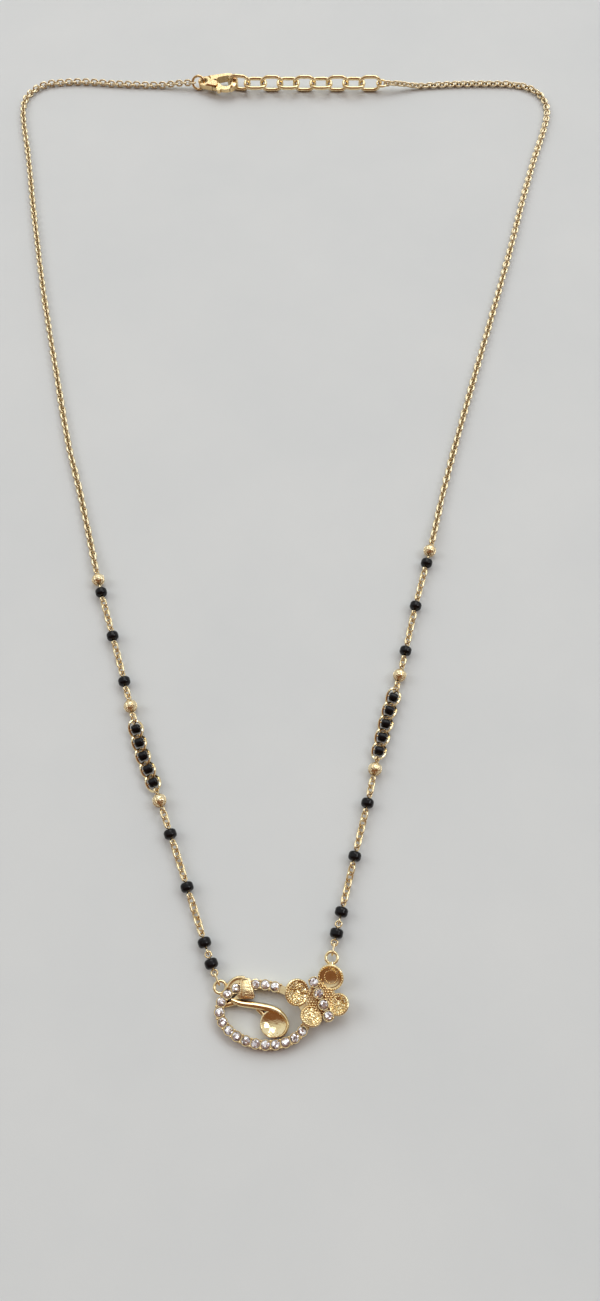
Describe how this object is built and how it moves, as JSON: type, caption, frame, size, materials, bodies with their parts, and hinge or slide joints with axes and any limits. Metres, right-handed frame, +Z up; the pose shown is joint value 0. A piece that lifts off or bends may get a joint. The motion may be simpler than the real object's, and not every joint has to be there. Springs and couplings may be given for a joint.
{
  "type": "mangalsutra necklace",
  "caption": "Gold chain necklace with black beads, fluted gold beads and caged beads on both strands, a stone-set oval and flower pendant, a lobster clasp and an extender chain.",
  "frame": {"origin": "middle of the box round the whole piece, on the surface that it lies on", "axes": "+X to the right and +Y from the pendant up to the clasp, both seen from above, +Z up from the surface"},
  "size_m": [0.1189, 0.2069, 0.0039],
  "materials": {
    "pendant_gold": "polished gold plate",
    "strand_gold": "polished gold plate",
    "gold_bead": "polished gold plate",
    "chain_gold": "pale gold plate",
    "clasp_gold": "pale gold plate",
    "black_bead": "glossy black glass",
    "stone": "clear, brilliant cut"
  },
  "bodies": {
    "necklace": {"pendant_body": "pendant_gold", "frame_stones": "stone", "petal_stones": "stone", "bead_chain_left": "strand_gold", "bead_chain_right": "strand_gold", "eye_pins_left": "strand_gold", "eye_pins_right": "strand_gold", "cage_links_left": "strand_gold", "cage_links_right": "strand_gold", "black_bead_left_1": "black_bead", "black_bead_left_2": "black_bead", "black_bead_left_3": "black_bead", "black_bead_left_4": "black_bead", "black_bead_left_5": "black_bead", "black_bead_left_6": "black_bead", "black_bead_left_7": "black_bead", "black_bead_right_1": "black_bead", "black_bead_right_2": "black_bead", "black_bead_right_3": "black_bead", "black_bead_right_4": "black_bead", "black_bead_right_5": "black_bead", "black_bead_right_6": "black_bead", "black_bead_right_7": "black_bead", "caged_bead_left_1": "black_bead", "caged_bead_left_2": "black_bead", "caged_bead_left_3": "black_bead", "caged_bead_left_4": "black_bead", "caged_bead_left_5": "black_bead", "caged_bead_right_1": "black_bead", "caged_bead_right_2": "black_bead", "caged_bead_right_3": "black_bead", "caged_bead_right_4": "black_bead", "caged_bead_right_5": "black_bead", "gold_bead_left_1": "gold_bead", "gold_bead_left_2": "gold_bead", "gold_bead_left_3": "gold_bead", "gold_bead_right_1": "gold_bead", "gold_bead_right_2": "gold_bead", "gold_bead_right_3": "gold_bead", "plain_chain_left": "chain_gold", "plain_chain_right": "chain_gold", "clasp_body": "clasp_gold", "clasp_ring": "clasp_gold", "extender_chain": "clasp_gold", "extender_ring": "clasp_gold"},
    "lever": {"clasp_lever": "clasp_gold"}
  },
  "joints": [
    {"name": "clasp_lever_hinge", "type": "hinge", "parent": "necklace", "child": "lever", "pos_m": [-0.01633, 0.10012, 0.00165], "axis": [-0.0887, 0.0141, 0.996], "range_deg": [0, 15], "stiffness_Nm_per_rad": 0.001, "springref_deg": -28.65}
  ]
}
